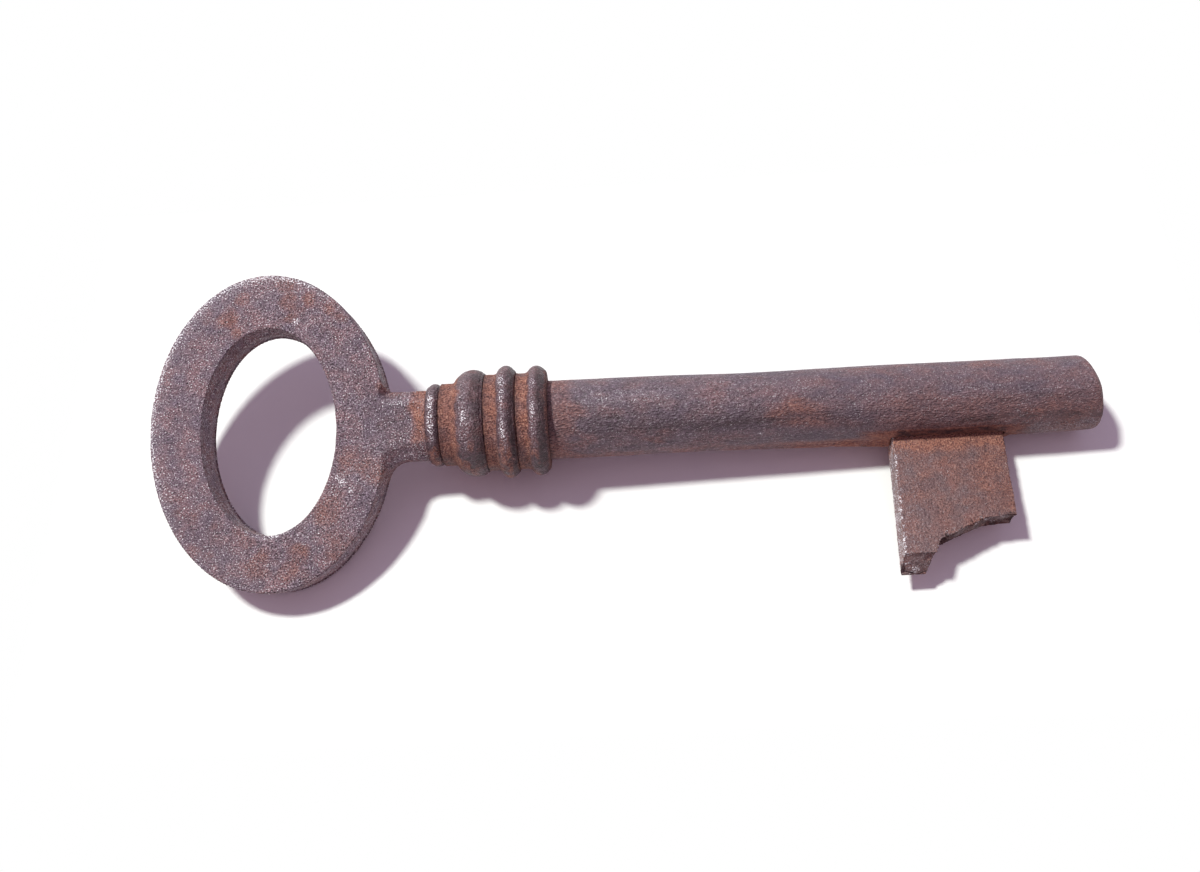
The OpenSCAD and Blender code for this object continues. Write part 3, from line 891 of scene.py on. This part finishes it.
def build_piece(node, material, voxel, shape, wear, filler=None):
    """Dresses one CAD node: an even mesh of it, its real surface, its wear and its material."""
    start = bmesh.new()
    start.from_mesh(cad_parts[node].data)
    if filler:
        start.from_mesh(filler)
    mesh = bpy.data.meshes.new(node + "_iron")
    start.to_mesh(mesh)
    start.free()
    piece = bpy.data.objects.new(node + "_iron", mesh)
    bpy.context.scene.collection.objects.link(piece)
    even_mesh(piece, voxel)
    mesh = piece.data
    points = read_vectors(mesh.vertices, "co") / MM
    normals = read_vectors(mesh.vertex_normals, "vector")
    points = np.clip(shape(points, normals) * MM, *cad_box)
    mesh.vertices.foreach_set("co", points.astype(np.float32).ravel())
    mesh.update()
    normals = read_vectors(mesh.vertex_normals, "vector")
    for name, values in wear(points / MM, normals).items():
        attribute = mesh.attributes.new(name, "FLOAT", "POINT")
        attribute.data.foreach_set("value", np.clip(values, 0, 1).astype(np.float32))
    mesh.materials.clear()
    mesh.materials.append(material)
    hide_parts(node)
    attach(piece, "root")


build_piece("bow", bow_iron, 0.14, bow_shape, bow_wear, neck_filler())
build_piece("neck_ring", collar_iron, 0.11, ring_shape(seed=101, dent=0.03),
            collar_wear(NECK_RING_BASE_R, NECK_RING_R, rust_height=0.1, foot_shade=0.2, wear_and_highlight_strength=1.38,
                        shade_from=0.4, flank_shade=0.5))
build_piece("bead", collar_iron, 0.12, ring_shape(seed=111, next_r=FRONT_GROOVE_R),
            collar_wear(REAR_GROOVE_R, BEAD_R, rust_height=0.55, shade_from=-0.1, flank_shade=0.8))
build_piece("middle_ring", collar_iron, 0.12, ring_shape(seed=121),
            collar_wear(FRONT_GROOVE_R, MIDDLE_RING_R, wear_and_highlight_strength=1.02, shade_from=0.18))
build_piece("front_ring", collar_iron, 0.12, ring_shape(seed=131),
            collar_wear(FRONT_GROOVE_R, FRONT_RING_R, wear_and_highlight_strength=1.15, shade_from=-0.18))
build_piece("shank", shank_iron, 0.14, shank_shape, shank_wear)
build_piece("bit", bit_iron, 0.11, bit_shape, bit_wear)


# Floor, lamp, surroundings and camera
def build_floor():
    """A white patch under the key and its shadow; from below it can't be seen."""
    corners = [(x * MM, y * MM, (FLOOR_HEIGHT + FLOOR_RISE_X * x + FLOOR_RISE_Y * y) * MM)
               for x, y in ((FLOOR_BACK_X, -FLOOR_HALF_W), (FLOOR_FRONT_X, -FLOOR_HALF_W),
                            (FLOOR_FRONT_X, FLOOR_HALF_W), (FLOOR_BACK_X, FLOOR_HALF_W))]
    mesh = bpy.data.meshes.new("floor")
    mesh.from_pydata(corners, [], [(0, 1, 2, 3)])
    floor = bpy.data.objects.new("floor", mesh)
    bpy.context.scene.collection.objects.link(floor)
    paper = bpy.data.materials.new("white_paper")
    g = Graph(paper)
    white = g.add("ShaderNodeBsdfDiffuse", {"Color": (*FLOOR_COLOR, 1)})
    seen = g.add("ShaderNodeLightPath").outputs["Is Camera Ray"]
    glow = g.add("ShaderNodeEmission", {"Color": (*FLOOR_GLOW, 1), "Strength": seen})
    lit = g.add("ShaderNodeAddShader", {0: white.outputs[0], 1: glow.outputs[0]})
    clear = g.add("ShaderNodeBsdfTransparent")
    below = g.add("ShaderNodeNewGeometry").outputs["Backfacing"]
    side = g.add("ShaderNodeMixShader", {0: below, 1: lit.outputs[0], 2: clear.outputs[0]})
    g.add("ShaderNodeOutputMaterial", {"Surface": side.outputs[0]})
    mesh.materials.append(paper)


def build_lamp():
    """One lamp where the photograph's is, as strong near the bow as at the tip."""
    lamp = bpy.data.lights.new("lamp", "POINT")
    lamp.energy = LAMP_POWER
    lamp.color = LAMP_COLOR
    lamp.shadow_soft_size = LAMP_RADIUS * MM
    place = LAMP_PLACE * MM
    g = Graph(lamp)
    even = g.add("ShaderNodeLightFalloff", {"Strength": 1 / place.length_squared})
    glow = g.add("ShaderNodeEmission", {"Strength": even.outputs["Constant"]})
    g.add("ShaderNodeOutputLight", {"Surface": glow.outputs[0]})
    holder = bpy.data.objects.new("lamp", lamp)
    holder.location = place
    bpy.context.scene.collection.objects.link(holder)


def build_surroundings():
    """Dim light for the shade, cooler from the lamp's side; camera and reflections see white."""
    world = bpy.data.worlds.new("surroundings")
    bpy.context.scene.world = world
    g = Graph(world)
    path = g.add("ShaderNodeLightPath").outputs
    seen = g.math("MAXIMUM", path["Is Camera Ray"], path["Is Glossy Ray"])
    seen = g.math("MAXIMUM", seen, path["Is Transmission Ray"])
    place = g.add("ShaderNodeTexCoord").outputs["Generated"]
    along = g.add("ShaderNodeVectorMath", {0: place, 1: SHADE_FROM}, operation="DOT_PRODUCT")
    shade = g.ramp(g.math("ADD", along.outputs["Value"], 0.5), [(0, SHADE_FAR), (1, SHADE_NEAR)])
    dim = g.add("ShaderNodeBackground", {"Color": shade})
    white = g.add("ShaderNodeBackground", {"Color": (1, 1, 1, 1)})
    pick = g.add("ShaderNodeMixShader", {0: seen, 1: dim.outputs[0], 2: white.outputs[0]})
    g.add("ShaderNodeOutputWorld", {"Surface": pick.outputs[0]})


def build_camera():
    """The photograph's camera, with its three axes as they were fitted."""
    camera = bpy.data.cameras.new("camera")
    camera.lens = CAMERA_LENS
    camera.sensor_width = CAMERA_SENSOR
    camera.sensor_fit = "HORIZONTAL"
    camera.clip_start, camera.clip_end = [distance * MM for distance in CAMERA_RANGE]
    holder = bpy.data.objects.new("camera", camera)
    turn = Matrix((CAMERA_RIGHT, CAMERA_UP, CAMERA_BACK)).transposed().to_4x4()
    holder.matrix_world = Matrix.Translation(CAMERA_PLACE * MM) @ turn
    bpy.context.scene.collection.objects.link(holder)
    bpy.context.scene.camera = holder


build_floor()
build_lamp()
build_surroundings()
build_camera()
bpy.context.scene.view_settings.view_transform = "Standard"
